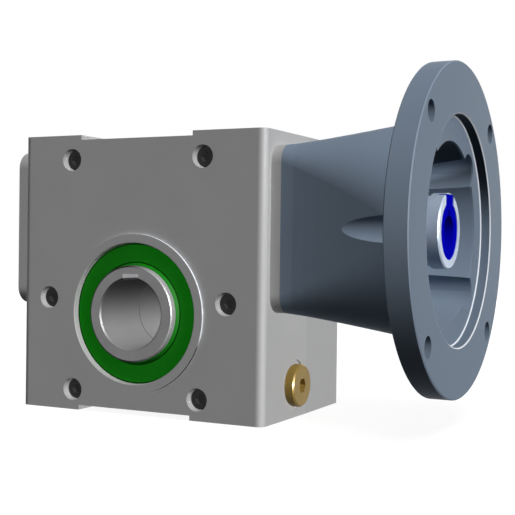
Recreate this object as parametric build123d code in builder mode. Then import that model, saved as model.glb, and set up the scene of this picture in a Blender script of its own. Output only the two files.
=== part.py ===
from build123d import *
import math
import os

os.makedirs("parts", exist_ok=True)

# Worm gear reducer, millimetres. The hollow output bore runs along Y through the origin, halfway
# between the two side faces. The worm runs along X, above the output bore, and the motor flange
# is at its +X end. Z is up.

# Gear pair: a single-start worm over a bronze wheel
centre_distance = 44.45
wheel_teeth = 30
worm_pitch_radius = 12.0
pressure_angle = math.radians(20)
backlash = 1.0
tip_clearance = 0.45
wheel_outer_radius = 35.2
wheel_face_width = 14.0
wheel_hub_width = 22.0
wheel_hub_radius = 28.5
wheel_edge_bevel = 1.5
gap_wrap = 140.0
worm_turns = 8
thread_embed = 0.5

# Casing block
casing_left = 71.5
casing_right = 75.1
casing_down = 52.5
casing_up = 93.5
casing_half_depth = 47.75
casing_front_corner = 4.2
casing_rear_corner = 0.8
casing_draft = 0.4
casing_wall = 9.0
motor_wall = 11.0
cavity_corner = 6.0
joint_plane = 3.0
pad_inner_edge = 34.0
pad_step = 2.5
face_boss_radius = 41.4
face_boss_height = 1.25
end_boss_width = 83.6
end_boss_corner = 9.0
end_boss_left = 80.0
end_boss_right = 80.5

# Screws that clamp the two casing halves, as places on the front face (X, Z)
casing_screw_places = [(-39.9, 80.4), (39.9, 80.4), (-54.0, 6.8), (54.0, 6.8), (-38.1, -41.8), (38.1, -41.8)]
screw_column_radius = 9.0
screw_rib_width = 10.0
casing_screw_radius = 3.0
casing_screw_head_radius = 5.35
casing_screw_head_height = 6.0
casing_screw_key = 5.0
casing_screw_length = 55.0
casing_screw_sink = 3.3
head_clearance = 0.55
shank_clearance = 0.3
thread_clearance = 0.05
hole_run_out = 2.0

# Dowels across the joint of the halves
dowel_places = [(-66.5, 88.3), (69.8, -47.3)]
dowel_radius = 3.0
dowel_half_length = 8.0
dowel_clearance = 0.02
dowel_end_gap = 0.3
dowel_chamfer = 0.5

# Tapped mounting holes in the pads, top and bottom
mount_spacing_x = 109.0
mount_spacing_y = 68.0
mount_hole_radius = 5.0
mount_hole_depth = 18.0
mount_boss_radius = 9.0
mount_boss_cover = 3.0

# Output side: hollow shaft, bearings and seals, alike at the front and the rear
shaft_radius = 25.0
shaft_proud = 3.35
shaft_chamfer = 0.6
bore_radius = 18.256
bore_chamfer = 0.7
bore_relief = 0.35
bore_relief_half_length = 13.5
output_key_width = 9.525
output_key_top = 20.55
output_bearing_outer = 36.0
output_bearing_width = 12.0
output_bearing_balls = 13
output_ball_radius = 3.2
housing_shoulder_width = 2.0
housing_shoulder_height = 3.0
output_seal_outer = 36.5
output_seal_width = 9.0
output_seal_sink = 2.35
output_lip_rise = 1.9
seal_pocket_chamfer = 0.4
output_housing_wall = 6.0
spacer_radius = 28.0

# Worm side
worm_far_bearing_outer = 23.5
worm_far_bearing_bore = 10.0
worm_far_bearing_width = 14.0
worm_far_bearing_balls = 8
worm_far_ball_radius = 3.97
worm_far_bearing_near = 48.0
worm_drive_bearing_outer = 31.0
worm_drive_bearing_width = 14.0
worm_drive_bearing_balls = 10
worm_drive_ball_radius = 4.0
worm_drive_bearing_near = 56.0
far_housing_wall = 5.5
drive_housing_wall = 6.0
worm_shoulder_radius = 12.5
worm_core_half_length = 29.0
drive_shoulder_radius = 20.5
drive_shoulder_width = 10.0
worm_end_overhang = 2.0
worm_chamfer = 0.8
circlip_thickness = 2.0
circlip_groove_depth = 1.5
circlip_land = 3.5
circlip_opening = 14.0
circlip_ear_radius = 2.6
circlip_groove_play = 0.1
input_seal_width = 7.0
end_cap_thickness = 7.5
end_cap_recess = 0.5
end_cap_skin = 3.0
end_cap_rim = 3.0
end_cap_dish = 0.8
input_lip_rise = -0.4
seal_groove_outer = 1.8
seal_groove_inner = 1.3
seal_groove_depth = 0.8
seal_lip_tip = 0.3
seal_lip_bevel = 0.4
seal_lip_base = 1.2
seal_lip_thickness = 3.4
seal_web = 2.5
seal_skirt = 2.0

# Quill, the hollow end of the worm that takes the motor shaft
quill_radius = 17.5
quill_end = 153.0
quill_collar_radius = 18.8
quill_collar_width = 7.6
quill_collar_chamfer = 0.6
bush_radius = 14.3
bush_length = 55.0
bush_tab_width = 13.0
bush_tab_reach = 17.9
bush_tab_depth = 3.5
bush_set_back = 0.4
input_bore_radius = 7.94
input_key_width = 4.76
input_key_top = 10.4
tab_clearance = 0.15

# Motor adaptor: square foot on the casing boss, round bell, flange for the motor face
adaptor_floor = 7.5
flange_face = 159.1
flange_thickness = 11.6
flange_radius = 82.55
flange_chamfer = 0.5
bell_radius = 55.5
bell_flat = 0.05
bell_flare = 1.2
bell_steps = 10
pilot_radius = 57.15
pilot_depth = 5.55
pilot_chamfer = 0.5
pilot_corner = 0.5
mouth_radius = 44.4
cavity_floor_radius = 34.6
quill_hole_radius = 22.0
flange_bolt_circle = 149.225
flange_hole_radius = 5.2
adaptor_screw_offset = 31.0
pocket_mouth_radius = 9.5
pocket_floor_radius = 7.6
scallop_radius = 6.5
scallop_offset = 54.5
adaptor_screw_radius = 4.0
adaptor_screw_head_radius = 6.5
adaptor_screw_head_height = 8.0
adaptor_screw_key = 6.0
adaptor_screw_length = 20.0
o_ring_radius = 35.0
o_ring_groove_width = 3.2
o_ring_groove_depth = 2.7

# Oil plug in the motor end wall
plug_y = -11.5
plug_z = -35.7
plug_spotface_radius = 13.1
plug_spotface_depth = 0.5
plug_head_radius = 11.0
plug_head_height = 4.2
plug_head_chamfer = 0.8
plug_thread_radius = 8.3
plug_length = 9.0
plug_key = 7.0
plug_key_depth = 3.0
plug_washer_radius = 10.4
plug_washer_thickness = 1.2

# Fits
running_gap = 0.05
ball_gap = 0.12
cage_gap = 0.18
cage_half_thickness = 1.1
cage_side_bar = 1.3
race_land = 0.6

# Worked out from the sizes above
wheel_pitch_radius = centre_distance - worm_pitch_radius
thread_pitch = 2 * math.pi * wheel_pitch_radius / wheel_teeth
addendum = thread_pitch / math.pi
worm_tip_radius = worm_pitch_radius + addendum
worm_root_radius = worm_pitch_radius - addendum - tip_clearance
wheel_tip_radius = wheel_pitch_radius + addendum
wheel_root_radius = wheel_pitch_radius - addendum - tip_clearance
thread_half_width = thread_pitch / 4 - backlash / 4
cavity_left = casing_left - casing_wall
cavity_right = casing_right - motor_wall
cavity_down = casing_down - casing_wall
cavity_up = casing_up - casing_wall
cavity_half_depth = casing_half_depth - casing_wall
screw_seat = casing_half_depth - casing_screw_sink - casing_screw_head_height
face_boss_far = casing_half_depth + face_boss_height
shaft_half_length = casing_half_depth + shaft_proud
output_seal_near = casing_half_depth - output_seal_sink - output_seal_width
output_bearing_far = output_seal_near - housing_shoulder_width
output_bearing_near = output_bearing_far - output_bearing_width
worm_far_bearing_far = worm_far_bearing_near + worm_far_bearing_width
worm_drive_bearing_far = worm_drive_bearing_near + worm_drive_bearing_width
drive_shoulder_near = worm_drive_bearing_near - housing_shoulder_width * 2
far_shoulder_end = worm_far_bearing_near - housing_shoulder_width
worm_far_end = worm_far_bearing_far + worm_end_overhang
drive_shoulder_start = worm_drive_bearing_near - drive_shoulder_width
circlip_near = worm_drive_bearing_far
circlip_groove_end = circlip_near + circlip_thickness + circlip_groove_play
plug_seat = casing_right - plug_spotface_depth + plug_washer_thickness
input_seal_far = end_boss_right - end_cap_recess
input_seal_near = input_seal_far - input_seal_width
end_cap_far = end_boss_left - end_cap_recess
adaptor_floor_face = end_boss_right + adaptor_floor
flange_rear = flange_face - flange_thickness
pilot_floor = flange_face - pilot_depth
bush_floor = quill_end - bush_length
wheel_base_radius = wheel_pitch_radius * math.cos(pressure_angle)
flank_radii = (wheel_base_radius + 0.01, wheel_pitch_radius, wheel_outer_radius + 2)
adaptor_screw_places = [
    (side * adaptor_screw_offset, centre_distance + level * adaptor_screw_offset)
    for side in (-1, 1)
    for level in (-1, 1)
]
worm_axis = Axis((0, 0, centre_distance), (1, 0, 0))


def worm_plane(along, turn=0.0):
    # Across the worm axis at X = along. Its x direction points down at turn 0, and turns with the worm.
    swing = math.radians(turn)
    down = (0, math.sin(swing), -math.cos(swing))
    return Plane(origin=(along, 0, centre_distance), x_dir=down, z_dir=(1, 0, 0))


def worm_profile(*points):
    # Points of a half section given as (X, radius from the worm axis), placed in the XZ plane
    return [(along, centre_distance + radius) for along, radius in points]


def save(piece, name):
    piece.part.label = name
    export_step(piece.part, f"parts/{name}.step")


def section_of(plane):
    # Half section through the axis of a ring: x is the radius and y runs along the plane's normal
    return Plane(origin=plane.origin, x_dir=plane.x_dir, z_dir=-plane.y_dir)


def axis_of(plane):
    return Axis(plane.origin, plane.z_dir)


# Casing

with BuildPart() as casing:
    with BuildSketch(Plane.XY.offset(-casing_down)) as plan:
        with BuildLine():
            Polyline(
                (-casing_left, -casing_half_depth),
                (casing_right, -casing_half_depth),
                (casing_right + casing_draft, joint_plane),
                (casing_right, casing_half_depth),
                (-casing_left, casing_half_depth),
                (-casing_left - casing_draft, joint_plane),
                close=True,
            )
        make_face()
        fillet(plan.vertices().group_by(Axis.Y)[0], casing_front_corner)
        fillet(plan.vertices().group_by(Axis.Y)[-1], casing_rear_corner)
    extrude(amount=casing_down + casing_up)
    # The middle of the top and of the bottom is stepped back between the mounting pads
    with BuildSketch(Plane.XZ):
        with Locations((0, casing_up), (0, -casing_down)):
            Rectangle(2 * pad_inner_edge, 2 * pad_step)
    extrude(amount=casing_half_depth, both=True, mode=Mode.SUBTRACT)
    with BuildSketch(Plane.XZ):
        Circle(face_boss_radius)
    extrude(amount=face_boss_far, both=True)
    with BuildSketch(Plane.YZ.offset(-end_boss_left)):
        with Locations((0, centre_distance)):
            RectangleRounded(end_boss_width, end_boss_width, end_boss_corner)
    extrude(amount=end_boss_left + end_boss_right)
    # Hollow inside, with columns and ribs left standing for the clamping screws
    with BuildSketch(Plane.XZ):
        with Locations(((cavity_right - cavity_left) / 2, (cavity_up - cavity_down) / 2)):
            RectangleRounded(cavity_left + cavity_right, cavity_up + cavity_down, cavity_corner)
        with Locations(*casing_screw_places):
            Circle(screw_column_radius, mode=Mode.SUBTRACT)
        for screw_x, screw_z in casing_screw_places[2:4]:
            with Locations((math.copysign((abs(screw_x) + cavity_right) / 2, screw_x), screw_z)):
                Rectangle(cavity_right - abs(screw_x) + 1, screw_rib_width, mode=Mode.SUBTRACT)
    extrude(amount=cavity_half_depth, both=True, mode=Mode.SUBTRACT)
    # Bearing housings that stand into the hollow
    for side in (-1, 1):
        with BuildSketch(Plane.XZ.offset(side * output_bearing_near)):
            Circle(output_bearing_outer + output_housing_wall)
        extrude(amount=side * (casing_half_depth - output_bearing_near))
    with BuildSketch(worm_plane(-end_boss_left + 1)):
        Circle(worm_far_bearing_outer + far_housing_wall)
    extrude(amount=end_boss_left - 1 - worm_far_bearing_near + housing_shoulder_width)
    with BuildSketch(worm_plane(drive_shoulder_near)):
        Circle(worm_drive_bearing_outer + drive_housing_wall)
    extrude(amount=end_boss_right - 1 - drive_shoulder_near)
    # Bosses round the tapped mounting holes
    for level in (cavity_up, -cavity_down):
        with BuildSketch(Plane.XY.offset(level)):
            with GridLocations(mount_spacing_x, mount_spacing_y, 2, 2):
                Circle(mount_boss_radius)
        extrude(amount=math.copysign(casing_wall - pad_step, level))
        with BuildSketch(Plane.XY.offset(level)):
            with GridLocations(mount_spacing_x, mount_spacing_y, 2, 2):
                Circle(mount_boss_radius)
        extrude(amount=-math.copysign(mount_hole_depth - casing_wall + mount_boss_cover, level))
    # Output bearing seats, shoulders and seal pockets
    with BuildSketch(Plane.XY):
        with BuildLine():
            Polyline(
                (0, output_bearing_near - 1),
                (output_bearing_outer, output_bearing_near - 1),
                (output_bearing_outer, output_bearing_far),
                (output_bearing_outer - housing_shoulder_height, output_bearing_far),
                (output_bearing_outer - housing_shoulder_height, output_seal_near),
                (output_seal_outer, output_seal_near),
                (output_seal_outer, face_boss_far - seal_pocket_chamfer),
                (output_seal_outer + seal_pocket_chamfer, face_boss_far),
                (output_seal_outer + seal_pocket_chamfer, face_boss_far + 1),
                (0, face_boss_far + 1),
                close=True,
            )
        make_face()
        mirror(about=Plane.XZ)
    revolve(axis=Axis.Y, mode=Mode.SUBTRACT)
    # Worm bearing seats, open at both end bosses, with the circlip groove on the motor side
    with BuildSketch(Plane.XZ):
        with BuildLine():
            Polyline(
                worm_profile(
                    (-end_boss_left - 1, 0),
                    (-end_boss_left - 1, worm_far_bearing_outer),
                    (-worm_far_bearing_near, worm_far_bearing_outer),
                    (-worm_far_bearing_near, worm_far_bearing_outer - housing_shoulder_height),
                    (1 - far_shoulder_end, worm_far_bearing_outer - housing_shoulder_height),
                    (1 - far_shoulder_end, 0),
                ),
                close=True,
            )
        make_face()
        with BuildLine():
            Polyline(
                worm_profile(
                    (drive_shoulder_near - 1, 0),
                    (drive_shoulder_near - 1, worm_drive_bearing_outer - housing_shoulder_height),
                    (worm_drive_bearing_near, worm_drive_bearing_outer - housing_shoulder_height),
                    (worm_drive_bearing_near, worm_drive_bearing_outer),
                    (circlip_near, worm_drive_bearing_outer),
                    (circlip_near, worm_drive_bearing_outer + circlip_groove_depth),
                    (circlip_groove_end, worm_drive_bearing_outer + circlip_groove_depth),
                    (circlip_groove_end, worm_drive_bearing_outer),
                    (end_boss_right + 1, worm_drive_bearing_outer),
                    (end_boss_right + 1, 0),
                ),
                close=True,
            )
        make_face()
    revolve(axis=worm_axis, mode=Mode.SUBTRACT)
    # Tapped holes for mounting and for the adaptor
    for level, inward in ((casing_up, -mount_hole_depth), (-casing_down, mount_hole_depth)):
        with BuildSketch(Plane.XY.offset(level)):
            with GridLocations(mount_spacing_x, mount_spacing_y, 2, 2):
                Circle(mount_hole_radius)
        extrude(amount=inward, mode=Mode.SUBTRACT)
    with BuildSketch(Plane.YZ.offset(end_boss_right)):
        with Locations(*adaptor_screw_places):
            Circle(adaptor_screw_radius + thread_clearance)
    extrude(amount=adaptor_floor - adaptor_screw_length - hole_run_out, mode=Mode.SUBTRACT)
    # Oil plug hole with its spotface
    with BuildSketch(Plane.YZ.offset(casing_right + casing_draft)):
        with Locations((plug_y, plug_z)):
            Circle(plug_spotface_radius)
    extrude(amount=-casing_draft - plug_spotface_depth, mode=Mode.SUBTRACT)
    with BuildSketch(Plane.YZ.offset(casing_right)):
        with Locations((plug_y, plug_z)):
            Circle(plug_thread_radius + thread_clearance)
    extrude(amount=-motor_wall - 1, mode=Mode.SUBTRACT)
    # Dowel holes across the joint
    with BuildSketch(Plane.XZ.offset(-joint_plane)):
        with Locations(*dowel_places):
            Circle(dowel_radius + dowel_clearance)
    extrude(amount=dowel_half_length + dowel_end_gap, both=True, mode=Mode.SUBTRACT)

with BuildPart() as front_casing:
    add(casing.part)
    split(bisect_by=Plane.XZ.offset(-joint_plane), keep=Keep.TOP)
    with Locations(Plane.XZ.offset(casing_half_depth)):
        with Locations(*casing_screw_places):
            CounterBoreHole(
                radius=casing_screw_radius + shank_clearance,
                counter_bore_radius=casing_screw_head_radius + head_clearance,
                counter_bore_depth=casing_screw_sink + casing_screw_head_height,
                depth=casing_half_depth + joint_plane,
            )
save(front_casing, "front_casing")

with BuildPart() as rear_casing:
    add(casing.part)
    split(bisect_by=Plane.XZ.offset(-joint_plane), keep=Keep.BOTTOM)
    with BuildSketch(Plane.XZ.offset(-joint_plane)):
        with Locations(*casing_screw_places):
            Circle(casing_screw_radius + thread_clearance)
    extrude(amount=screw_seat + joint_plane - casing_screw_length - hole_run_out, mode=Mode.SUBTRACT)
save(rear_casing, "rear_casing")

with BuildPart() as casing_dowels:
    with BuildSketch(Plane.XZ.offset(-joint_plane)):
        with Locations(*dowel_places):
            Circle(dowel_radius)
    extrude(amount=dowel_half_length, both=True)
    chamfer(casing_dowels.edges().filter_by(GeomType.CIRCLE), dowel_chamfer)
save(casing_dowels, "casing_dowels")


def socket_screw(radius, head_radius, head_height, key_width, length):
    # Socket head cap screw along Z, with the underside of its head at the origin
    with BuildPart() as screw:
        with BuildSketch(Plane.XY):
            Circle(head_radius)
        extrude(amount=head_height)
        chamfer(screw.edges().group_by(Axis.Z)[-1], head_height / 12)
        with BuildSketch(Plane.XY):
            Circle(radius)
        extrude(amount=-length)
        with BuildSketch(Plane.XY.offset(head_height)):
            RegularPolygon(key_width / 2, 6, major_radius=False)
        extrude(amount=-head_height / 2, mode=Mode.SUBTRACT)
    return screw.part


with BuildPart() as casing_screws:
    with Locations(Plane.XZ.offset(screw_seat)):
        with Locations(*casing_screw_places):
            add(
                socket_screw(
                    casing_screw_radius,
                    casing_screw_head_radius,
                    casing_screw_head_height,
                    casing_screw_key,
                    casing_screw_length,
                )
            )
save(casing_screws, "casing_screws")

with BuildPart() as worm_end_cap:
    with BuildSketch(Plane.XZ):
        with BuildLine():
            Polyline(
                worm_profile(
                    (end_cap_skin - end_cap_far, 0),
                    (end_cap_skin - end_cap_far, worm_far_bearing_outer - end_cap_skin),
                    (end_cap_thickness - end_cap_far, worm_far_bearing_outer - end_cap_skin),
                    (end_cap_thickness - end_cap_far, worm_far_bearing_outer),
                    (-end_cap_far, worm_far_bearing_outer),
                    (-end_cap_far, worm_far_bearing_outer - end_cap_rim),
                    (end_cap_dish - end_cap_far, worm_far_bearing_outer - end_cap_rim - end_cap_dish),
                    (end_cap_dish - end_cap_far, 0),
                ),
                close=True,
            )
        make_face()
    revolve(axis=worm_axis)
save(worm_end_cap, "worm_end_cap")

with BuildPart() as oil_plug:
    with BuildSketch(Plane.YZ.offset(plug_seat)):
        with Locations((plug_y, plug_z)):
            Circle(plug_head_radius)
    extrude(amount=plug_head_height)
    chamfer(oil_plug.edges().group_by(Axis.X)[-1], plug_head_chamfer)
    with BuildSketch(Plane.YZ.offset(plug_seat)):
        with Locations((plug_y, plug_z)):
            Circle(plug_thread_radius)
    extrude(amount=-plug_length)
    with BuildSketch(Plane.YZ.offset(plug_seat + plug_head_height)):
        with Locations((plug_y, plug_z)):
            RegularPolygon(plug_key / 2, 6, major_radius=False)
    extrude(amount=-plug_key_depth, mode=Mode.SUBTRACT)
save(oil_plug, "oil_plug")

with BuildPart() as oil_plug_washer:
    with BuildSketch(Plane.YZ.offset(plug_seat)):
        with Locations((plug_y, plug_z)):
            Circle(plug_washer_radius)
            Circle(plug_thread_radius + thread_clearance, mode=Mode.SUBTRACT)
    extrude(amount=-plug_washer_thickness)
save(oil_plug_washer, "oil_plug_washer")


# Output shaft and wheel

with BuildPart() as hollow_shaft:
    with BuildSketch(Plane.XY):
        with BuildLine():
            Polyline(
                (bore_radius + bore_relief, 0),
                (bore_radius + bore_relief, bore_relief_half_length),
                (bore_radius, bore_relief_half_length),
                (bore_radius, shaft_half_length - bore_chamfer),
                (bore_radius + bore_chamfer, shaft_half_length),
                (shaft_radius - shaft_chamfer, shaft_half_length),
                (shaft_radius, shaft_half_length - shaft_chamfer),
                (shaft_radius, 0),
                close=True,
            )
        make_face()
        mirror(about=Plane.XZ)
    revolve(axis=Axis.Y)
    with BuildSketch(Plane.XZ):
        with Locations((0, output_key_top / 2)):
            Rectangle(output_key_width, output_key_top)
    extrude(amount=shaft_half_length, both=True, mode=Mode.SUBTRACT)
save(hollow_shaft, "hollow_shaft")


def gap_half_angle(radius):
    # Half the angle between two teeth of the wheel, at a radius on their involute flanks
    here = math.acos(wheel_base_radius / radius)
    unwound = math.tan(here) - here
    unwound_at_pitch = math.tan(pressure_angle) - pressure_angle
    tooth_at_pitch = (thread_pitch - backlash) / 4 / wheel_pitch_radius
    return math.pi / wheel_teeth - tooth_at_pitch + (unwound - unwound_at_pitch)


def gap_point(radius, side=1):
    # A point on the side of a tooth gap, as (distance from the worm axis, place along it)
    angle = gap_half_angle(radius)
    return (centre_distance - radius * math.cos(angle), side * radius * math.sin(angle))


with BuildPart() as tooth_gap:
    with BuildLine() as gap_path:
        Helix(thread_pitch, thread_pitch * gap_wrap / 360, worm_pitch_radius)
    with BuildSketch(Plane.XZ):
        with BuildLine():
            lower = ThreePointArc(*[gap_point(radius, -1) for radius in flank_radii])
            upper = ThreePointArc(*[gap_point(radius) for radius in flank_radii])
            floor_reach = centre_distance - wheel_root_radius
            Polyline(lower @ 0, (floor_reach, (lower @ 0).Y), (floor_reach, (upper @ 0).Y), upper @ 0)
            Line(lower @ 1, upper @ 1)
        make_face()
    sweep(path=gap_path.line, is_frenet=True)

gap_start = worm_plane(-thread_pitch * gap_wrap / 720, -gap_wrap / 2)
gap_places = [
    Location((0, 0, 0), (0, tooth * 360 / wheel_teeth, 0)) * Location(gap_start)
    for tooth in range(wheel_teeth)
]

with BuildPart() as worm_wheel:
    with BuildSketch(Plane.XY):
        with BuildLine():
            Polyline(
                (shaft_radius, 0),
                (shaft_radius, wheel_hub_width / 2),
                (wheel_hub_radius, wheel_hub_width / 2),
                (wheel_hub_radius, wheel_face_width / 2),
                (wheel_outer_radius - wheel_edge_bevel, wheel_face_width / 2),
                (wheel_outer_radius, wheel_face_width / 2 - wheel_edge_bevel),
                (wheel_outer_radius, 0),
                close=True,
            )
        make_face()
        mirror(about=Plane.XZ)
        with Locations((centre_distance, 0)):
            Circle(centre_distance - wheel_tip_radius, mode=Mode.SUBTRACT)
    revolve(axis=Axis.Y)
    with Locations(*gap_places):
        add(tooth_gap.part, mode=Mode.SUBTRACT)
save(worm_wheel, "worm_wheel")

for name, side in (("front", 1), ("rear", -1)):
    with BuildPart() as shaft_spacer:
        with BuildSketch(Plane.XZ.offset(side * wheel_hub_width / 2)):
            Circle(spacer_radius)
            Circle(shaft_radius, mode=Mode.SUBTRACT)
        extrude(amount=side * (output_bearing_near - wheel_hub_width / 2))
    save(shaft_spacer, f"{name}_shaft_spacer")


# Seals

def lip_seal(plane, outer_radius, shaft, width, lip_rise):
    # Rotary seal. The plane is at its inner face, with its normal pointing out of the casing. The outer lip
    # stands out of the outer face by lip_rise.
    with BuildPart() as seal:
        with BuildSketch(section_of(plane)):
            with BuildLine():
                Polyline(
                    (outer_radius, 0),
                    (outer_radius, width),
                    (shaft + seal_groove_outer, width),
                    (shaft + seal_groove_outer, width - seal_groove_depth),
                    (shaft + seal_groove_inner, width - seal_groove_depth),
                    (shaft + seal_groove_inner, width),
                    (shaft + seal_lip_tip, width + lip_rise),
                    (shaft + running_gap, width + lip_rise),
                    (shaft + running_gap, seal_lip_base + seal_lip_bevel),
                    (shaft + seal_groove_inner, seal_lip_base),
                    (shaft + seal_lip_thickness, seal_lip_base),
                    (shaft + seal_lip_thickness, width - seal_web),
                    (outer_radius - seal_skirt, width - seal_web),
                    (outer_radius - seal_skirt, 0),
                    close=True,
                )
            make_face()
        revolve(axis=axis_of(plane))
    return seal


front_seal_plane = Plane.XZ.offset(output_seal_near)
rear_seal_plane = Plane(origin=(0, output_seal_near, 0), x_dir=(1, 0, 0), z_dir=(0, 1, 0))
for name, plane in (("front", front_seal_plane), ("rear", rear_seal_plane)):
    output_seal = lip_seal(plane, output_seal_outer, shaft_radius, output_seal_width, output_lip_rise)
    save(output_seal, f"{name}_output_seal")
input_seal_plane = worm_plane(input_seal_near)
input_seal_sizes = (worm_drive_bearing_outer, quill_radius, input_seal_width, input_lip_rise)
input_seal = lip_seal(input_seal_plane, *input_seal_sizes)
save(input_seal, "input_seal")


# Worm with its quill

with BuildPart() as worm_thread:
    with BuildLine() as thread_path:
        Helix(thread_pitch, thread_pitch * worm_turns, worm_pitch_radius)
    with BuildSketch(Plane.XZ):
        with BuildLine():
            slope = math.tan(pressure_angle)
            root_reach = worm_root_radius - thread_embed
            root_width = thread_half_width + (worm_pitch_radius - root_reach) * slope
            tip_width = thread_half_width - addendum * slope
            Polyline(
                (root_reach, -root_width),
                (worm_tip_radius, -tip_width),
                (worm_tip_radius, tip_width),
                (root_reach, root_width),
                close=True,
            )
        make_face()
    sweep(path=thread_path.line, is_frenet=True)

with BuildPart() as worm_shaft:
    with BuildSketch(Plane.XZ):
        with BuildLine():
            Polyline(
                worm_profile(
                    (-worm_far_end, 0),
                    (-worm_far_end, worm_far_bearing_bore - worm_chamfer),
                    (worm_chamfer - worm_far_end, worm_far_bearing_bore),
                    (-worm_far_bearing_near, worm_far_bearing_bore),
                    (-worm_far_bearing_near, worm_shoulder_radius),
                    (-worm_core_half_length, worm_shoulder_radius),
                    (-worm_core_half_length, worm_root_radius),
                    (worm_core_half_length, worm_root_radius),
                    (worm_core_half_length, worm_shoulder_radius),
                    (drive_shoulder_start, worm_shoulder_radius),
                    (drive_shoulder_start, drive_shoulder_radius),
                    (worm_drive_bearing_near, drive_shoulder_radius),
                    (worm_drive_bearing_near, quill_radius),
                    (quill_end - quill_collar_width, quill_radius),
                    (quill_end - quill_collar_width, quill_collar_radius),
                    (quill_end - quill_collar_chamfer, quill_collar_radius),
                    (quill_end, quill_collar_radius - quill_collar_chamfer),
                    (quill_end, bush_radius),
                    (bush_floor, bush_radius),
                    (bush_floor, 0),
                ),
                close=True,
            )
        make_face()
    revolve(axis=worm_axis)
    with Locations(worm_plane(-thread_pitch * worm_turns / 2)):
        add(worm_thread.part)
    with BuildSketch(Plane.YZ.offset(quill_end)):
        with Locations((0, centre_distance + (bush_tab_reach + tab_clearance) / 2)):
            Rectangle(bush_tab_width + 2 * tab_clearance, bush_tab_reach + tab_clearance)
    extrude(amount=-bush_tab_depth - bush_set_back - tab_clearance, mode=Mode.SUBTRACT)
save(worm_shaft, "worm_shaft")

with BuildPart() as quill_bush:
    with BuildSketch(Plane.YZ.offset(bush_floor)):
        with Locations((0, centre_distance)):
            Circle(bush_radius)
    extrude(amount=bush_length - bush_set_back)
    with BuildSketch(Plane.YZ.offset(quill_end - bush_set_back)):
        with Locations((0, centre_distance + bush_tab_reach / 2)):
            Rectangle(bush_tab_width, bush_tab_reach)
    extrude(amount=-bush_tab_depth)
    with BuildSketch(Plane.YZ.offset(bush_floor)):
        with Locations((0, centre_distance)):
            Circle(input_bore_radius)
        with Locations((0, centre_distance + input_key_top / 2)):
            Rectangle(input_key_width, input_key_top)
    extrude(amount=bush_length, mode=Mode.SUBTRACT)
save(quill_bush, "quill_bush")

with BuildPart() as worm_circlip:
    with BuildSketch(worm_plane(circlip_near)):
        Circle(worm_drive_bearing_outer + circlip_groove_depth - running_gap)
        Circle(worm_drive_bearing_outer - circlip_land, mode=Mode.SUBTRACT)
        with Locations((worm_drive_bearing_outer, 0)):
            Rectangle(2 * circlip_land + 1, circlip_opening, mode=Mode.SUBTRACT)
        ear_x = worm_drive_bearing_outer - circlip_land
        ear_y = circlip_opening / 2 + circlip_ear_radius / 2
        with Locations((ear_x, ear_y), (ear_x, -ear_y)):
            Circle(circlip_ear_radius)
            Circle(circlip_ear_radius / 2, mode=Mode.SUBTRACT)
    extrude(amount=circlip_thickness)
save(worm_circlip, "worm_circlip")


# Ball bearings

def race(plane, inside, outside, width, pitch_radius, ball_radius):
    # Ring of a ball bearing. The plane is at the middle of its width, with the bearing's axis as normal.
    with BuildPart() as ring:
        with BuildSketch(section_of(plane)):
            with Locations(((inside + outside) / 2, 0)):
                Rectangle(outside - inside, width)
            with Locations((pitch_radius, 0)):
                Circle(ball_radius + ball_gap, mode=Mode.SUBTRACT)
        revolve(axis=axis_of(plane))
    return ring


def ball_cage(plane, pitch_radius, ball_radius, count):
    with BuildPart() as ring:
        with BuildSketch(section_of(plane)):
            with Locations((pitch_radius, 0)):
                Rectangle(2 * cage_half_thickness, 2 * (ball_radius + cage_gap + cage_side_bar))
        revolve(axis=axis_of(plane))
        with Locations(plane):
            with PolarLocations(pitch_radius, count):
                pocket_length = 4 * cage_half_thickness
                Cylinder(ball_radius + cage_gap, pocket_length, rotation=(0, 90, 0), mode=Mode.SUBTRACT)
    return ring


def ball_set(plane, pitch_radius, ball_radius, count):
    with BuildPart() as balls:
        with Locations(plane):
            with PolarLocations(pitch_radius, count):
                Sphere(ball_radius)
    return balls


def ball_bearing(name, plane, bore, outer, width, ball_radius, count):
    pitch_radius = (bore + outer) / 2
    land = ball_radius * race_land
    save(race(plane, pitch_radius + land, outer, width, pitch_radius, ball_radius), f"{name}_outer_race")
    save(race(plane, bore, pitch_radius - land, width, pitch_radius, ball_radius), f"{name}_inner_race")
    save(ball_cage(plane, pitch_radius, ball_radius, count), f"{name}_cage")
    save(ball_set(plane, pitch_radius, ball_radius, count), f"{name}_balls")


for name, side in (("front_output", 1), ("rear_output", -1)):
    ball_bearing(
        name,
        Plane.XZ.offset(side * (output_bearing_near + output_bearing_width / 2)),
        shaft_radius,
        output_bearing_outer,
        output_bearing_width,
        output_ball_radius,
        output_bearing_balls,
    )
ball_bearing(
    "worm_far",
    worm_plane(-worm_far_bearing_near - worm_far_bearing_width / 2),
    worm_far_bearing_bore,
    worm_far_bearing_outer,
    worm_far_bearing_width,
    worm_far_ball_radius,
    worm_far_bearing_balls,
)
ball_bearing(
    "worm_drive",
    worm_plane(worm_drive_bearing_near + worm_drive_bearing_width / 2),
    quill_radius,
    worm_drive_bearing_outer,
    worm_drive_bearing_width,
    worm_drive_ball_radius,
    worm_drive_bearing_balls,
)


# Motor adaptor

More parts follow.
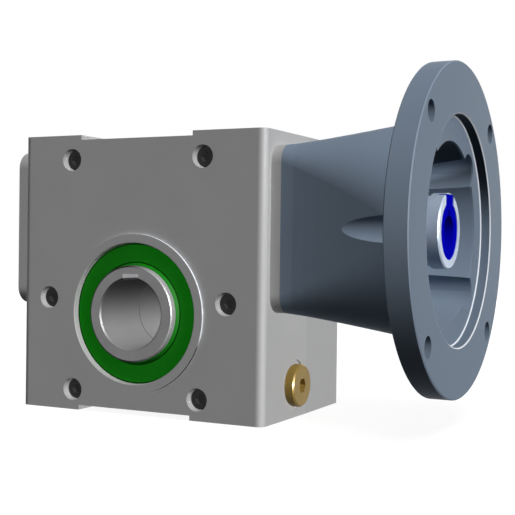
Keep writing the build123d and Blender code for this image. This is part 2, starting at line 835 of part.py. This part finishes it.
with BuildPart() as motor_adaptor:
    # The bell opens out from the square foot to a circle, faster towards the flange
    for step in range(bell_steps + 1):
        share = step / bell_steps
        half_width = end_boss_width / 2 + share**bell_flare * (bell_radius - end_boss_width / 2)
        foot_roundness = end_boss_corner / (end_boss_width / 2)
        roundness = foot_roundness + share * (1 - bell_flat / bell_radius - foot_roundness)
        with BuildSketch(Plane.YZ.offset(end_boss_right + share * (flange_rear - end_boss_right))):
            with Locations((0, centre_distance)):
                RectangleRounded(2 * half_width, 2 * half_width, roundness * half_width)
    loft(ruled=True)
    # Notches in the sides of the bell for the motor bolts
    with BuildSketch(Plane.YZ.offset(end_boss_right)):
        with Locations((-scallop_offset, centre_distance), (scallop_offset, centre_distance)):
            Circle(scallop_radius)
    extrude(amount=flange_rear - end_boss_right, mode=Mode.SUBTRACT)
    with BuildSketch(Plane.YZ.offset(flange_rear)):
        with Locations((0, centre_distance)):
            Circle(flange_radius)
    extrude(amount=flange_thickness)
    chamfer(motor_adaptor.edges().filter_by(GeomType.CIRCLE).group_by(SortBy.RADIUS)[-1], flange_chamfer)
    # Hollow inside: quill hole, tapering cavity and the recess for the motor's pilot
    with BuildSketch(Plane.XZ):
        with BuildLine():
            Polyline(
                worm_profile(
                    (end_boss_right - 1, 0),
                    (end_boss_right - 1, quill_hole_radius),
                    (adaptor_floor_face, quill_hole_radius),
                    (adaptor_floor_face, cavity_floor_radius),
                    (pilot_floor, mouth_radius),
                    (pilot_floor, pilot_radius - pilot_corner),
                    (pilot_floor + pilot_corner, pilot_radius),
                    (flange_face - pilot_chamfer, pilot_radius),
                    (flange_face, pilot_radius + pilot_chamfer),
                    (flange_face + 1, pilot_radius + pilot_chamfer),
                    (flange_face + 1, 0),
                ),
                close=True,
            )
        make_face()
    revolve(axis=worm_axis, mode=Mode.SUBTRACT)
    # Screw pockets in the corners, widening towards the mouth
    with BuildSketch(Plane.YZ.offset(adaptor_floor_face)):
        with Locations(*adaptor_screw_places):
            Circle(pocket_floor_radius)
    pocket_depth = pilot_floor - adaptor_floor_face
    pocket_draft = math.degrees(math.atan((pocket_mouth_radius - pocket_floor_radius) / pocket_depth))
    extrude(amount=pocket_depth, taper=-pocket_draft, mode=Mode.SUBTRACT)
    with BuildSketch(Plane.YZ.offset(end_boss_right)):
        with Locations(*adaptor_screw_places):
            Circle(adaptor_screw_radius + shank_clearance)
    extrude(amount=adaptor_floor, mode=Mode.SUBTRACT)
    with BuildSketch(Plane.YZ.offset(end_boss_right)):
        with Locations((0, centre_distance)):
            Circle(o_ring_radius + o_ring_groove_width / 2)
            Circle(o_ring_radius - o_ring_groove_width / 2, mode=Mode.SUBTRACT)
    extrude(amount=o_ring_groove_depth, mode=Mode.SUBTRACT)
    with BuildSketch(Plane.YZ.offset(flange_rear)):
        with Locations((0, centre_distance)):
            with PolarLocations(flange_bolt_circle / 2, 4, start_angle=45):
                Circle(flange_hole_radius)
    extrude(amount=flange_thickness, mode=Mode.SUBTRACT)
save(motor_adaptor, "motor_adaptor")

with BuildPart() as adaptor_o_ring:
    with BuildSketch(Plane.XZ):
        with Locations((end_boss_right + o_ring_groove_depth / 2, centre_distance + o_ring_radius)):
            Circle(o_ring_groove_depth / 2)
    revolve(axis=worm_axis)
save(adaptor_o_ring, "adaptor_o_ring")

with BuildPart() as adaptor_screws:
    with Locations(Plane.YZ.offset(adaptor_floor_face)):
        with Locations(*adaptor_screw_places):
            add(
                socket_screw(
                    adaptor_screw_radius,
                    adaptor_screw_head_radius,
                    adaptor_screw_head_height,
                    adaptor_screw_key,
                    adaptor_screw_length,
                )
            )
save(adaptor_screws, "adaptor_screws")
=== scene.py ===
import bpy
import math
from mathutils import Matrix, Vector


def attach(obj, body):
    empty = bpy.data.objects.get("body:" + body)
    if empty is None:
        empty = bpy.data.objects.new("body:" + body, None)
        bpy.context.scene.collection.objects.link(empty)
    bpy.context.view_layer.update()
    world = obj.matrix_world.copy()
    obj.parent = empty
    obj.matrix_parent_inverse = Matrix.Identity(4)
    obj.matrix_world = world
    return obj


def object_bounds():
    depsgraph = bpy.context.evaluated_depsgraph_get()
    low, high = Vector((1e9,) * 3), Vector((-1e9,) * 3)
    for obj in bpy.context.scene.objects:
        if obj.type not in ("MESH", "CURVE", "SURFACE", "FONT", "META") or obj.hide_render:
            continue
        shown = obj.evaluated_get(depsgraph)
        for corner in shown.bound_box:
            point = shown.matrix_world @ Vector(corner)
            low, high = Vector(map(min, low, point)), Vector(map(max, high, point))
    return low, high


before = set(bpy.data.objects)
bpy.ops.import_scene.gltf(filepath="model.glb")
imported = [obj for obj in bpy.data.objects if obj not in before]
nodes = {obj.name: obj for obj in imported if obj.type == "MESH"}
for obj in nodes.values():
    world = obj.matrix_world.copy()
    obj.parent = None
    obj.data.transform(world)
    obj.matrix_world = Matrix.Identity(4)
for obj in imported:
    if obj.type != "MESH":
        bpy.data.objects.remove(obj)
cadLow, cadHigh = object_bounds()
mm = 0.001                                       # one millimetre in scene units
wormHeight = 44.45                               # the worm axis above the output bore, in millimetres
cloudSpan = (0.3, 0.7)                           # the part of a noise that a colour drifts over
maskBlur = 0.05                                  # soft edge of a band of colour, in millimetres
print("frame loaded:", len(nodes), "nodes")


class Wire:                                      # an output socket that takes part in sums
    def __init__(self, bench, socket):
        self.bench = bench
        self.socket = socket

    def sum(self, operation, first, second=0.0):
        return self.bench.node("ShaderNodeMath", {"operation": operation}, {0: first, 1: second})

    def __add__(self, other):
        return self.sum("ADD", self, other)

    def __sub__(self, other):
        return self.sum("SUBTRACT", self, other)

    def __rsub__(self, other):
        return self.sum("SUBTRACT", other, self)

    def __mul__(self, other):
        return self.sum("MULTIPLY", self, other)

    __radd__ = __add__
    __rmul__ = __mul__

    def __abs__(self):
        return self.sum("ABSOLUTE", self)

    def sine(self):
        return self.sum("SINE", self)

    def distance(self, other):                   # the length of two sides at a right angle
        return self.sum("SQRT", self * self + other * other)

    def above(self, low, high):                  # 0 below low, 1 above high, smooth between
        sockets = {"Value": self, "From Min": low, "From Max": high}
        return self.bench.node("ShaderNodeMapRange", {"interpolation_type": "SMOOTHSTEP"}, sockets)

    def past(self, low, high):                   # the same, for places in millimetres
        return self.above(low * mm, high * mm)

    def band(self, low, high):                   # 1 between two places in millimetres, 0 outside
        return self.past(low, low + maskBlur) * (1 - self.past(high - maskBlur, high))


class Bench:                                     # a node tree under construction
    def __init__(self, tree):
        self.tree = tree

    def feed(self, socket, value):
        if isinstance(value, Wire):
            self.tree.links.new(value.socket, socket)
        else:
            socket.default_value = value

    def node(self, kind, settings=None, sockets=None, out=0):
        made = self.tree.nodes.new(kind)
        for name, value in (settings or {}).items():
            setattr(made, name, value)
        for name, value in (sockets or {}).items():
            self.feed(made.inputs[name], value)
        return Wire(self, made.outputs[out])


class Finish(Bench):                             # a material round one Principled shader
    def __init__(self, name, constants):
        self.material = bpy.data.materials.new(name)
        self.material.use_nodes = True
        super().__init__(self.material.node_tree)
        self.shader = self.tree.nodes["Principled BSDF"]
        self.set(constants)
        self.place = self.node("ShaderNodeTexCoord", out="Object")

    def set(self, values):
        for socket, value in values.items():
            self.feed(self.shader.inputs[socket], value)

    def noise(self, scale, detail):
        sockets = {"Vector": self.place, "Scale": scale, "Detail": detail}
        return self.node("ShaderNodeTexNoise", sockets=sockets)

    def blend(self, factor, low, high):
        sockets = {0: factor, 6: low, 7: high}
        return self.node("ShaderNodeMix", {"data_type": "RGBA"}, sockets, out=2)

    def axes(self):
        split = self.node("ShaderNodeSeparateXYZ", sockets={"Vector": self.place})
        return [Wire(self, split.socket.node.outputs[axis]) for axis in range(3)]

    def relief(self, height):
        sockets = {"Height": height, "Distance": 1.0, "Strength": 1.0}
        self.set({"Normal": self.node("ShaderNodeBump", sockets=sockets)})


def shade(red, green, blue, gain=1.0):           # a colour as it is seen on a screen, 0 to 255
    def part(value):
        value = value / 255
        return gain * (value / 12.92 if value <= 0.04045 else ((value + 0.055) / 1.055) ** 2.4)
    return (part(red), part(green), part(blue), 1.0)


# Paint. Places on the object are in millimetres, and gains multiply the paint's colour.

paintSettings = {
    "roughness": 0.46, "roughnessDrift": 0.12,
    "mottle": 0.015, "mottleScale": 38.0,        # how far the colour drifts, as a share
    "grainScale": 1500.0, "grainDepth": 0.00002,
    "waveScale": 210.0, "waveDepth": 0.00003,
    "paintedHighlight": (222, 226, 232),                 # painted highlight on machined edges
}
casingSettings = {
    "colour": (178, 178, 178), "sheen": 0.03,
    "rearShadeColour": (172, 172, 172),               # painted shade: the rear half is a darker copy of the casing paint
    "raisedFace": (47.8, 47.9),                  # depth at which the face round the output bore begins
    "edgeRadii": (41.2, 41.8),                   # its machined edge
    "highlightReach": (0.0, 25.0),                    # X + Z, from which that edge gets a painted highlight
    "shadeReach": (49.0, 55.0), "lineShadeGain": 0.12,                        # X - Z, from which it gets painted shade
    "cornerSide": (70.5, 73.5), "cornerFront": (-45.8, -43.8),
    "cornerHighlightGain": 1.25,                          # painted highlight on the rounded front corners
}
adaptorSettings = {
    "colour": (132, 147, 165), "sheen": 0.012,
    "faceStart": (153.4, 153.5), "faceRadius": (82.0, 82.1),
    "faceShadeGain": 0.72,                            # painted shade: the turned motor face is darker than the bell
    "cavityTaper": 0.22, "cavityWall": (17.4, 21.5), "cavityMouth": (152.0, 153.4),
    # painted shade inside the cavity
    "cavityShadeGain": 0.9,
    "cavityTop": (14.0, 40.0), "cavityTopShadeGain": 0.15,                   # painted shade at the top
    "recessRadii": (56.9, 57.3), "recessSpan": (154.2, 158.6),
    # painted shade at the top of the recess wall
    "recessTop": (0.0, 30.0), "recessTopShadeGain": 0.1,
    # painted highlight on the two bevels of the pilot recess
    "outerBevelRadii": (57.1, 57.72), "outerBevelStart": (158.5, 158.6),
    "innerBevelRadii": (56.6, 57.3), "innerBevelSpan": (153.4, 154.15),
}


def casingDetail(paint, coat, colour):
    x, y, z = paint.axes()
    onRaisedFace = abs(y).past(*casingSettings["raisedFace"])
    edge = x.distance(z).band(*casingSettings["edgeRadii"]) * onRaisedFace
    # painted highlight on the upper right of the boss edge
    litEdge = edge * (x + z).past(*casingSettings["highlightReach"])
    # painted shade on the lower right of the boss edge
    shadedLine = edge * (x - z).past(*casingSettings["shadeReach"])
    coat = paint.blend(litEdge, coat, shade(*paintSettings["paintedHighlight"]))
    coat = paint.blend(shadedLine, coat, shade(*colour, casingSettings["lineShadeGain"]))
    # painted highlight on the rounded front corners
    side = abs(x).past(*casingSettings["cornerSide"])
    front = 1 - y.past(*casingSettings["cornerFront"])
    return paint.blend(side * front * (1 - onRaisedFace), coat, shade(*colour, casingSettings["cornerHighlightGain"]))


def adaptorDetail(paint, coat, colour):
    x, y, z = paint.axes()
    rise = z - wormHeight * mm
    radius = y.distance(rise)
    # painted shade on the motor face
    face = x.past(*adaptorSettings["faceStart"]) * (1 - radius.past(*adaptorSettings["faceRadius"]))
    coat = paint.blend(face, coat, shade(*colour, adaptorSettings["faceShadeGain"]))
    # painted shade inside the cavity, darker still towards its top
    wall = radius - x * adaptorSettings["cavityTaper"]
    cavity = (1 - wall.past(*adaptorSettings["cavityWall"])) * (1 - x.past(*adaptorSettings["cavityMouth"]))
    coat = paint.blend(cavity, coat, shade(*colour, adaptorSettings["cavityShadeGain"]))
    cavityTop = cavity * rise.past(*adaptorSettings["cavityTop"])
    coat = paint.blend(cavityTop, coat, shade(*colour, adaptorSettings["cavityTopShadeGain"]))
    recess = radius.band(*adaptorSettings["recessRadii"]) * x.band(*adaptorSettings["recessSpan"])
    # painted shade at the top of the recess wall
    recessTop = recess * rise.past(*adaptorSettings["recessTop"])
    coat = paint.blend(recessTop, coat, shade(*colour, adaptorSettings["recessTopShadeGain"]))
    # painted highlight on the two bevels of the pilot recess
    outerBevelHighlight = radius.band(*adaptorSettings["outerBevelRadii"]) * x.past(*adaptorSettings["outerBevelStart"])
    innerBevelHighlight = radius.band(*adaptorSettings["innerBevelRadii"]) * x.band(*adaptorSettings["innerBevelSpan"])
    return paint.blend(outerBevelHighlight + innerBevelHighlight, coat, shade(*paintSettings["paintedHighlight"]))


def sprayPaint(name, colour, sheen, detail):
    paint = Finish(name, {"Specular IOR Level": sheen})
    drift = paint.noise(paintSettings["mottleScale"], 4.0)
    dark = shade(*colour, 1 - paintSettings["mottle"])
    light = shade(*colour, 1 + paintSettings["mottle"])
    grain = paint.noise(paintSettings["grainScale"], 2.0)
    wave = paint.noise(paintSettings["waveScale"], 2.0)
    coat = paint.blend(drift.above(*cloudSpan), dark, light)
    paint.set({
        "Base Color": detail(paint, coat, colour),
        "Roughness": paintSettings["roughness"] + (grain - 0.5) * paintSettings["roughnessDrift"],
    })
    paint.relief(grain * paintSettings["grainDepth"] + wave * paintSettings["waveDepth"])
    return paint.material


# Turned metal

turnedSettings = {
    "ringPitch": 0.00023,                        # one pass of the tool
    "ringDepth": 0.0000035, "wander": 0.35,
    "driftScale": 90.0, "drift": 0.05, "driftRoughness": 0.1,
    "scratchScale": 2600.0, "scratchRoughness": 0.16,
}
boreSettings = {                                 # the output bore, in millimetres, with painted shade
    "colour": (142, 142, 143), "boreEnd": (19.0, 19.1),
    "topReach": (-15.0, 17.0), "topShadeGain": 0.2,
    "stepSpan": (12.9, 14.4), "stepShadeGain": 0.45,                         # painted shade where its relief starts
    # painted shade on the lower left of the shaft end's outer edge
    "rimStart": (24.0, 24.15), "rimReach": (-4.0, 14.0), "rimShadeGain": 0.1,
}


def boreDetail(metal, surface):
    x, y, z = metal.axes()
    colour = boreSettings["colour"]
    radius = x.distance(z)
    # painted shade towards the top of the bore
    top = z.past(*boreSettings["topReach"])
    shadedBore = metal.blend(top, shade(*colour), shade(*colour, boreSettings["topShadeGain"]))
    # painted shade where the bore relief starts
    step = abs(y).band(*boreSettings["stepSpan"])
    shadedBore = metal.blend(step, shadedBore, shade(*colour, boreSettings["stepShadeGain"]))
    surface = metal.blend(radius.past(*boreSettings["boreEnd"]), shadedBore, surface)
    # painted shade on the lower left of the shaft end's outer edge
    rim = radius.past(*boreSettings["rimStart"]) * (1 - x.past(*boreSettings["rimReach"]))
    return metal.blend(rim, surface, shade(*colour, boreSettings["rimShadeGain"]))


def turnedMetal(name, colour, metallic, roughness, axis, height=0.0, specular=0.35, detail=None):
    metal = Finish(name, {"Metallic": metallic, "Specular IOR Level": specular})
    x, y, z = metal.axes()
    along, aside = (y, x) if axis == "y" else (x, y)
    radius = aside.distance(z - height * mm)
    drift = metal.noise(turnedSettings["driftScale"], 4.0)
    scratch = metal.noise(turnedSettings["scratchScale"], 2.0)
    turns = (radius + along) * (2 * math.pi / turnedSettings["ringPitch"])
    rings = (turns + drift * turnedSettings["wander"]).sine()
    dark = shade(*colour, 1 - turnedSettings["drift"])
    light = shade(*colour, 1 + turnedSettings["drift"])
    surface = metal.blend(drift.above(*cloudSpan), dark, light)
    worn = (scratch - 0.5) * turnedSettings["scratchRoughness"]
    metal.set({
        "Base Color": detail(metal, surface) if detail else surface,
        "Roughness": roughness + worn + (drift - 0.5) * turnedSettings["driftRoughness"],
    })
    metal.relief(rings * turnedSettings["ringDepth"] + scratch * turnedSettings["ringDepth"])
    return metal.material


# Plain finishes

plainSettings = {
    "drift": 0.04, "driftScale": 75.0, "driftRoughness": 0.08,
    "grainScale": 900.0, "grainDepth": 0.000012, "grainRoughness": 0.14,
}
sealSettings = {                                 # painted shade on the output seals, in millimetres
    "colour": (20, 127, 20), "lineShadeGain": 0.2,
    "grooveRadii": (26.2, 26.9),                 # the groove round the lip
    "edgeStart": (35.6, 35.85),                  # the edge against the pocket
}


def sealDetail(made, surface):
    x, y, z = made.axes()
    radius = x.distance(z)
    # painted shade in the groove round the lip and at the edge against the pocket
    shadedLine = radius.band(*sealSettings["grooveRadii"]) + radius.past(*sealSettings["edgeStart"])
    return made.blend(shadedLine.above(0.0, 1.0), surface, shade(*sealSettings["colour"], sealSettings["lineShadeGain"]))


def plainFinish(name, colour, constants, roughness, detail=None):
    made = Finish(name, constants)
    cloud = made.noise(plainSettings["driftScale"], 4.0)
    grain = made.noise(plainSettings["grainScale"], 3.0)
    dark = shade(*colour, 1 - plainSettings["drift"])
    light = shade(*colour, 1 + plainSettings["drift"])
    surface = made.blend(cloud.above(*cloudSpan), dark, light)
    worn = (grain - 0.5) * plainSettings["grainRoughness"]
    made.set({
        "Base Color": detail(made, surface) if detail else surface,
        "Roughness": roughness + worn + (cloud - 0.5) * plainSettings["driftRoughness"],
    })
    made.relief(grain * plainSettings["grainDepth"])
    return made.material


brass = (142, 117, 58)
plugHeight = -35.7
casingColour, casingSheen = casingSettings["colour"], casingSettings["sheen"]
adaptorColour, adaptorSheen = adaptorSettings["colour"], adaptorSettings["sheen"]
finishes = {
    "casing_paint": sprayPaint("casingPaint", casingColour, casingSheen, casingDetail),
    "adaptor_paint": sprayPaint("adaptorPaint", adaptorColour, adaptorSheen, adaptorDetail),
    "shaft_steel": turnedMetal("shaftSteel", (168, 167, 169), 0.03, 0.4, "y", 0.0, 0.06, boreDetail),
    "worm_steel": turnedMetal("wormSteel", (178, 193, 213), 0.08, 0.3, "x", wormHeight, 0.14),
    "bearing_steel": turnedMetal("bearingSteel", (190, 192, 196), 0.85, 0.2, "y"),
    "cage_steel": plainFinish("cageSteel", (150, 148, 144), {"Metallic": 0.8}, 0.4),
    "wheel_bronze": turnedMetal("wheelBronze", (190, 140, 70), 0.7, 0.34, "y"),
    "seal_rubber": plainFinish(
        "sealRubber", sealSettings["colour"], {"Specular IOR Level": 0.02}, 0.5, sealDetail),
    "ring_rubber": plainFinish("ringRubber", (24, 24, 25), {"Specular IOR Level": 0.3}, 0.55),
    "bush_plastic": plainFinish("bushPlastic", (4, 6, 184), {"Specular IOR Level": 0.0}, 0.42),
    "plug_brass": turnedMetal("plugBrass", brass, 0.1, 0.36, "x", plugHeight, 0.12),
    "washer_brass": plainFinish("washerBrass", brass, {"Metallic": 0.1}, 0.38),
    "screw_black": plainFinish("screwBlack", (56, 56, 56), {"Specular IOR Level": 0.05}, 0.45),
    "spring_steel": plainFinish("springSteel", (120, 118, 116), {"Metallic": 0.9}, 0.35),
    "cap_steel": turnedMetal("capSteel", (160, 160, 162), 0.5, 0.34, "x", wormHeight),
}
# painted shade: a darker copy of the casing paint for the rear casing
rearShadedPaint = sprayPaint("rearCasingPaint", casingSettings["rearShadeColour"], casingSheen, casingDetail)
tappedMetal = plainFinish("tappedMetal", (128, 127, 125), {"Metallic": 0.6}, 0.42)
for name, node in nodes.items():
    for slot in node.material_slots:
        finishName = slot.material.name.split(".")[0]
        slot.material = rearShadedPaint if name == "rear_casing" else finishes[finishName]
print("finishes made:", len(finishes) + 2)


# What repeats: screw threads in the tapped holes and the knurled rims of the screw heads

class Pattern(Bench):                            # a Geometry Nodes tree that sets one shape on each seed
    def __init__(self, name, sizes):
        self.group = bpy.data.node_groups.new(name, "GeometryNodeTree")
        super().__init__(self.group)
        self.sizes = sizes
        self.sockets = {}
        interface = self.group.interface
        interface.new_socket("Seeds", in_out="INPUT", socket_type="NodeSocketGeometry")
        interface.new_socket("Shape", in_out="OUTPUT", socket_type="NodeSocketGeometry")
        for label, value in sizes.items():
            kind = "NodeSocketInt" if isinstance(value, int) else "NodeSocketFloat"
            self.sockets[label] = interface.new_socket(label, in_out="INPUT", socket_type=kind)
        self.entry = self.tree.nodes.new("NodeGroupInput")

    def size(self, label):
        return Wire(self, self.entry.outputs[label])

    def build(self, shape, finish, seeds, body, slotName):
        sockets = {"Points": self.size("Seeds"), "Instance": shape}
        placed = self.node("GeometryNodeInstanceOnPoints", sockets=sockets)
        solid = self.node("GeometryNodeRealizeInstances", sockets={"Geometry": placed})
        painted = self.node("GeometryNodeSetMaterial", sockets={"Geometry": solid, "Material": finish})
        self.feed(self.tree.nodes.new("NodeGroupOutput").inputs["Shape"], painted)
        mesh = bpy.data.meshes.new(self.group.name)
        mesh.from_pydata([[value * mm for value in seed] for seed in seeds], [], [])
        piece = bpy.data.objects.new(self.group.name, mesh)
        bpy.context.scene.collection.objects.link(piece)
        grown = piece.modifiers.new("pattern", "NODES")
        grown.node_group = self.group
        for label, value in self.sizes.items():
            grown[self.sockets[label].identifier] = value
        bpy.context.view_layer.update()
        result = piece.evaluated_get(bpy.context.evaluated_depsgraph_get())
        piece.data = bpy.data.meshes.new_from_object(result)
        piece.modifiers.remove(grown)
        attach(piece, body)
        print(self.group.name, len(piece.data.polygons), "faces")


threadSettings = {"Radius": 4.86 * mm, "Ridge": 0.42 * mm, "Pitch": 1.5 * mm, "Turns": 11.0}
threadPlaces = [(x, y, z) for x in (-54.5, 54.5) for y in (-34, 34) for z in (84.6, -43.6)]
thread = Pattern("tappedThread", threadSettings)
length = thread.size("Pitch") * thread.size("Turns")
coil = thread.node("GeometryNodeCurveSpiral", sockets={
    "Resolution": 28, "Rotations": thread.size("Turns"), "Height": length,
    "Start Radius": thread.size("Radius"), "End Radius": thread.size("Radius"),
})
ridge = thread.node("GeometryNodeCurvePrimitiveCircle", sockets={
    "Resolution": 3, "Radius": thread.size("Ridge"),
})
wound = thread.node("GeometryNodeCurveToMesh", sockets={
    "Curve": coil, "Profile Curve": ridge, "Fill Caps": True,
})
drop = thread.node("ShaderNodeCombineXYZ", sockets={"Z": length * -0.5})
centred = thread.node("GeometryNodeTransform", sockets={"Geometry": wound, "Translation": drop})
thread.build(centred, tappedMetal, threadPlaces, "casing", "casing_paint")


def ridgedRims(name, settings, turn, places):    # fine ridges round the heads of a set of screws
    rim = Pattern(name, settings)
    ring = rim.node("GeometryNodeMeshCircle", sockets={
        "Vertices": rim.size("Count"), "Radius": rim.size("Radius"),
    })
    bar = rim.node("GeometryNodeMeshCylinder", sockets={
        "Vertices": 6, "Radius": rim.size("Ridge"), "Depth": rim.size("Length"),
    })
    bars = rim.node("GeometryNodeInstanceOnPoints", sockets={"Points": ring, "Instance": bar})
    turned = rim.node("GeometryNodeTransform", sockets={"Geometry": bars, "Rotation": turn})
    rim.build(turned, finishes["screw_black"], places, "casing", "screw_black")


quarterTurn = math.pi / 2
casingRimSettings = {"Radius": 5.3 * mm, "Ridge": 0.2 * mm, "Length": 4.6 * mm, "Count": 42}
casingHeadDepth = -41.2
casingScrews = [(-39.9, 80.4), (39.9, 80.4), (-54.0, 6.8), (54.0, 6.8), (-38.1, -41.8), (38.1, -41.8)]
casingScrewPlaces = [(x, casingHeadDepth, z) for x, z in casingScrews]
ridgedRims("casingScrewRims", casingRimSettings, (quarterTurn, 0, 0), casingScrewPlaces)

adaptorRimSettings = {"Radius": 6.45 * mm, "Ridge": 0.22 * mm, "Length": 6.4 * mm, "Count": 48}
adaptorHeadPlace = 91.8
spread = (-31.0, 31.0)
adaptorScrewPlaces = [(adaptorHeadPlace, y, wormHeight + z) for y in spread for z in spread]
ridgedRims("adaptorScrewRims", adaptorRimSettings, (0, quarterTurn, 0), adaptorScrewPlaces)


# Camera, lights and floor

cameraSettings = {
    "azimuth": 26.4416, "pitch": 0.6957, "roll": 0.7452, "lens": 73.243, "nearest": 0.01,
    "position": (298.312, -504.320, 36.479),     # millimetres
}
azimuth, pitch, roll = (math.radians(cameraSettings[name]) for name in ("azimuth", "pitch", "roll"))
outward = Vector((math.sin(azimuth), -math.cos(azimuth), 0)) * math.cos(pitch)
back = outward + Vector((0, 0, math.sin(pitch)))
level = Vector((0, 0, 1)).cross(back).normalized()
upright = back.cross(level)
across = level * math.cos(roll) + upright * math.sin(roll)
upward = upright * math.cos(roll) - level * math.sin(roll)
camera = bpy.data.objects.new("camera", bpy.data.cameras.new("camera"))
bpy.context.scene.collection.objects.link(camera)
camera.data.lens = cameraSettings["lens"]
camera.data.clip_start = cameraSettings["nearest"]
camera.matrix_world = Matrix((across, upward, back)).transposed().to_4x4()
camera.location = Vector(cameraSettings["position"]) * mm
bpy.context.scene.camera = camera
bpy.context.scene.view_settings.view_transform = "Standard"

lightSettings = {
    "keyFrom": (2.51, -1.114, 1.62), "keyStrength": 3.19, "keyAngle": 20,
    "fillSize": 1.1,
    "leftPower": 5.0, "leftPlace": (-1.2, 0.15, 0.05),
    "backPower": 8.0, "backPlace": (-0.1, 1.3, 0.05),
    "overheadPower": 0.25, "overheadPlace": (0.04, 0.0, 0.9), "overheadSize": 0.7,
    "stripFrom": (0.894, -0.444, 0.0), "stripDistance": 1.4, "stripPower": 880.0,
    "stripWidth": 0.22, "stripHeight": 2.4,
    "shadowFrom": (0.3, -0.3, 1.0), "shadowStrength": 1.2, "shadowAngle": 35,
    "dome": 0.018,                               # what the white surroundings give as light
}
floorSettings = {
    "span": 6.0, "gap": 0.0002,                  # metres
    "glow": 0.76, "colour": (0.3, 0.3, 0.3, 1),
    "bounce": (0.03, 0.03, 0.03, 1),             # the colour that the object is lit by
}


def aim(lamp, direction, distance=1.0):
    lamp.rotation_mode = "QUATERNION"
    lamp.rotation_quaternion = Vector(direction).normalized().to_track_quat("Z", "Y")
    lamp.location = Vector(direction).normalized() * distance


def makeLamp(name, kind, energy):
    lamp = bpy.data.objects.new(name, bpy.data.lights.new(name, kind))
    bpy.context.scene.collection.objects.link(lamp)
    lamp.data.energy = energy
    return lamp


key = makeLamp("keyLamp", "SUN", lightSettings["keyStrength"])
key.data.angle = math.radians(lightSettings["keyAngle"])
key.data.use_shadow = False
aim(key, lightSettings["keyFrom"])
for side in ("left", "back"):
    fill = makeLamp(side + "Lamp", "AREA", lightSettings[side + "Power"])
    fill.data.size = lightSettings["fillSize"]
    place = Vector(lightSettings[side + "Place"])
    aim(fill, place, place.length)
overhead = makeLamp("overheadLamp", "AREA", lightSettings["overheadPower"])
overhead.data.size = lightSettings["overheadSize"]
overhead.location = lightSettings["overheadPlace"]
strip = makeLamp("stripLamp", "AREA", lightSettings["stripPower"])
strip.data.shape = "RECTANGLE"
strip.data.size = lightSettings["stripWidth"]
strip.data.size_y = lightSettings["stripHeight"]
strip.visible_diffuse = False
aim(strip, lightSettings["stripFrom"], lightSettings["stripDistance"])


def seenDirectly(bench):                         # 1 for camera, mirror and glass rays
    path = bench.node("ShaderNodeLightPath").socket.node.outputs
    rays = ("Is Camera Ray", "Is Glossy Ray", "Is Transmission Ray")
    cameraRay, glossyRay, glassRay = (Wire(bench, path[name]) for name in rays)
    return (cameraRay + glossyRay + glassRay).above(0.0, 1.0)


world = bpy.data.worlds.new("studio")
bpy.context.scene.world = world
world.use_nodes = True
sky = Bench(world.node_tree)
seen = seenDirectly(sky)
skyNode = world.node_tree.nodes["Background"]
sky.feed(skyNode.inputs["Color"], (1, 1, 1, 1))
sky.feed(skyNode.inputs["Strength"], seen + (1 - seen) * lightSettings["dome"])

span = floorSettings["span"]
floorHeight = cadLow.z - floorSettings["gap"]
corners = [(x, y, floorHeight) for x, y in ((-span, -span), (span, -span), (span, span), (-span, span))]
floorMesh = bpy.data.meshes.new("floor")
floorMesh.from_pydata(corners, [], [(0, 1, 2, 3)])
floor = bpy.data.objects.new("floor", floorMesh)
bpy.context.scene.collection.objects.link(floor)
floorMaterial = bpy.data.materials.new("paleFloor")
floorMaterial.use_nodes = True
floorTree = floorMaterial.node_tree
floorTree.nodes.remove(floorTree.nodes["Principled BSDF"])
ground = Bench(floorTree)
seen = seenDirectly(ground)
glow = ground.node("ShaderNodeEmission", sockets={"Strength": floorSettings["glow"]})
matt = ground.node("ShaderNodeBsdfDiffuse", sockets={"Color": floorSettings["colour"]})
pale = ground.node("ShaderNodeAddShader", sockets={0: glow, 1: matt})
dim = ground.node("ShaderNodeBsdfDiffuse", sockets={"Color": floorSettings["bounce"]})
surface = ground.node("ShaderNodeMixShader", sockets={0: seen, 1: dim, 2: pale})
ground.feed(floorTree.nodes["Material Output"].inputs["Surface"], surface)
floorMesh.materials.append(floorMaterial)

shadow = makeLamp("shadowLamp", "SUN", lightSettings["shadowStrength"])
shadow.data.angle = math.radians(lightSettings["shadowAngle"])
aim(shadow, lightSettings["shadowFrom"])
litFloor = bpy.data.collections.new("litFloor")  # this lamp lights the floor only, for the object's shadow
litFloor.objects.link(floor)
shadow.light_linking.receiver_collection = litFloor
print("camera, lights and floor made")
